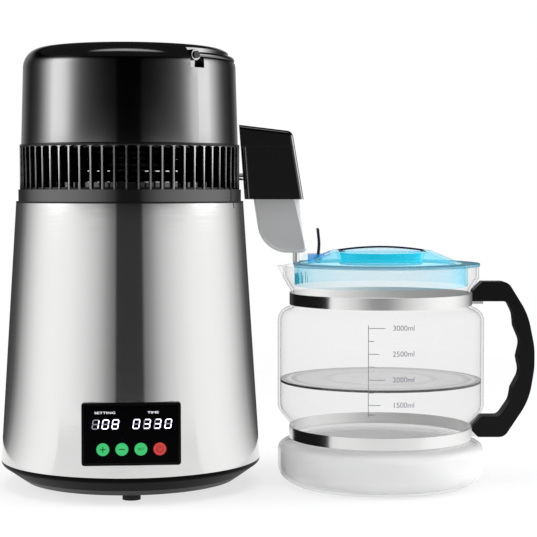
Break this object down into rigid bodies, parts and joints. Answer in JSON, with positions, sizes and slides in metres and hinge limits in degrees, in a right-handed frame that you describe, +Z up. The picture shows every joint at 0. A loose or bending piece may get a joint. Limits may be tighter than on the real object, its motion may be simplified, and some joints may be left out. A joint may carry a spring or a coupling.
{
  "type": "water distiller",
  "caption": "Countertop steam water distiller with a lift-off fan-cooled condenser head, side spout, and a lidded glass jug under its nozzle.",
  "frame": {"origin": "on the worktop, under the centre of the bounding box in plan", "axes": "+X from the still toward the jug's handle, -Y toward the control panel's side, +Z up"},
  "size_m": [0.4606, 0.2271, 0.3772],
  "materials": {
    "black_rubber": "satin",
    "gray_silicone": "satin",
    "black_plastic": "satin",
    "gloss_black": "gloss",
    "smoked_window": "gloss",
    "button_green": "gloss",
    "button_red": "gloss",
    "brushed_steel": "brushed",
    "polished_steel": "polished",
    "nozzle_steel": "satin",
    "screw_steel": "satin",
    "cast_aluminium": "satin",
    "fin_aluminium": "satin",
    "contact_brass": "satin",
    "circuit_green": "satin",
    "carbon": "matte",
    "clear_glass": "clear",
    "blue_lid": "translucent",
    "dark_flap": "gloss"
  },
  "bodies": {
    "base": {"foot_front": "black_rubber", "foot_right": "black_rubber", "foot_back": "black_rubber", "foot_left": "black_rubber", "base_plate": "black_plastic", "base_screw_1": "screw_steel", "base_screw_2": "screw_steel", "base_screw_3": "screw_steel", "base_screw_4": "screw_steel", "base_ring": "black_plastic", "outer_shell": "brushed_steel", "boiler_pot": "brushed_steel", "heater_plate": "cast_aluminium", "heater_element": "screw_steel", "thermostat": "black_plastic", "dry_cutout": "black_plastic", "panel_bezel": "gloss_black", "display_window": "smoked_window", "display_module": "black_plastic", "control_board": "circuit_green", "power_inlet": "black_plastic", "inlet_contacts": "contact_brass", "fan_outlet": "black_plastic"},
    "head": {"head_pan": "brushed_steel", "gasket": "gray_silicone", "vent_ring": "black_plastic", "steam_riser": "brushed_steel", "condenser_coil": "polished_steel", "condenser_fins": "fin_aluminium", "outlet_tube": "polished_steel", "fan_motor": "screw_steel", "motor_bracket": "screw_steel", "head_cover": "gloss_black", "top_grille": "gloss_black", "pivot_pin_front": "screw_steel", "pivot_pin_rear": "screw_steel", "fan_inlet": "black_plastic", "spout_housing": "gloss_black", "nozzle": "nozzle_steel", "charcoal_filter": "carbon", "drip_tube": "polished_steel"},
    "fan": {"fan_blades": "black_plastic"},
    "bail": {"carry_handle": "gloss_black"},
    "cap": {"spout_cap": "gloss_black"},
    "plus": {"button_plus": "button_green"},
    "minus": {"button_minus": "button_green"},
    "set": {"button_set": "button_green"},
    "power": {"button_power": "button_red"},
    "jug": {"glass_jug": "clear_glass", "upper_band": "polished_steel", "lower_band": "polished_steel", "jug_handle": "black_plastic", "clamp_screw_upper": "screw_steel", "clamp_screw_lower": "screw_steel"},
    "lid": {"jug_lid": "blue_lid", "flap_pin": "screw_steel"},
    "flap": {"lid_flap": "dark_flap"}
  },
  "joints": [
    {"name": "head_lift", "type": "slide", "parent": "base", "child": "head", "axis": [0, 0, 1], "range_m": [0, 0.09]},
    {"name": "fan_spin", "type": "hinge", "parent": "head", "child": "fan", "pos_m": [-0.1186, 0, 0.3115], "axis": [0, 0, 1], "continuous": true},
    {"name": "handle_swing", "type": "hinge", "parent": "head", "child": "bail", "pos_m": [-0.1186, 0, 0.3646], "axis": [0.6743, -0.7385, 0], "range_deg": [0, 100]},
    {"name": "cap_lift", "type": "slide", "parent": "head", "child": "cap", "axis": [0, 0, 1], "range_m": [0, 0.04]},
    {"name": "plus_press", "type": "slide", "parent": "base", "child": "plus", "axis": [-0.0858, 0.9943, -0.064], "range_m": [0, 0.0007], "stiffness_N_per_m": 400},
    {"name": "minus_press", "type": "slide", "parent": "base", "child": "minus", "axis": [-0.0858, 0.9943, -0.064], "range_m": [0, 0.0007], "stiffness_N_per_m": 400},
    {"name": "set_press", "type": "slide", "parent": "base", "child": "set", "axis": [-0.0858, 0.9943, -0.064], "range_m": [0, 0.0007], "stiffness_N_per_m": 400},
    {"name": "power_press", "type": "slide", "parent": "base", "child": "power", "axis": [-0.0858, 0.9943, -0.064], "range_m": [0, 0.0007], "stiffness_N_per_m": 400},
    {"name": "jug_slide", "type": "slide", "parent": "base", "child": "jug", "axis": [1, 0, 0], "range_m": [0, 0.13]},
    {"name": "lid_lift", "type": "slide", "parent": "jug", "child": "lid", "axis": [0, 0, 1], "range_m": [0, 0.065]},
    {"name": "flap_close", "type": "hinge", "parent": "lid", "child": "flap", "pos_m": [0.0433, 0, 0.1936], "axis": [0, -1, 0], "range_deg": [0, 92]}
  ],
  "couplings": [
    {"joint": "lid_lift", "follows": "jug_slide", "ratio": 0.5},
    {"joint": "flap_close", "follows": "jug_slide", "rad_per_m": 12.35}
  ]
}
